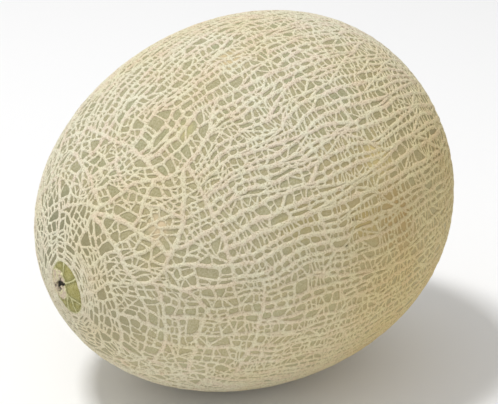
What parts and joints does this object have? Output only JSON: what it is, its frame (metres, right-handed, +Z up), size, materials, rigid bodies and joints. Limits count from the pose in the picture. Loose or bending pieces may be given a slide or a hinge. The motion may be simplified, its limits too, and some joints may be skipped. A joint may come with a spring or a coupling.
{
  "type": "cantaloupe melon",
  "caption": "Whole netted cantaloupe melon: an egg-shaped fruit with a raised corky net on its rind, lying on a small flat spot.",
  "frame": {"origin": "centre of the small flat spot that the fruit lies on", "axes": "+Z up; +X along the fruit towards the stem end, the blossom end at -X dipping by 6 degrees"},
  "size_m": [0.1755, 0.1462, 0.1455],
  "materials": {
    "rind": "matt cream cork net over a grey-green skin"
  },
  "bodies": {
    "root": {"melon": "rind"}
  },
  "joints": []
}
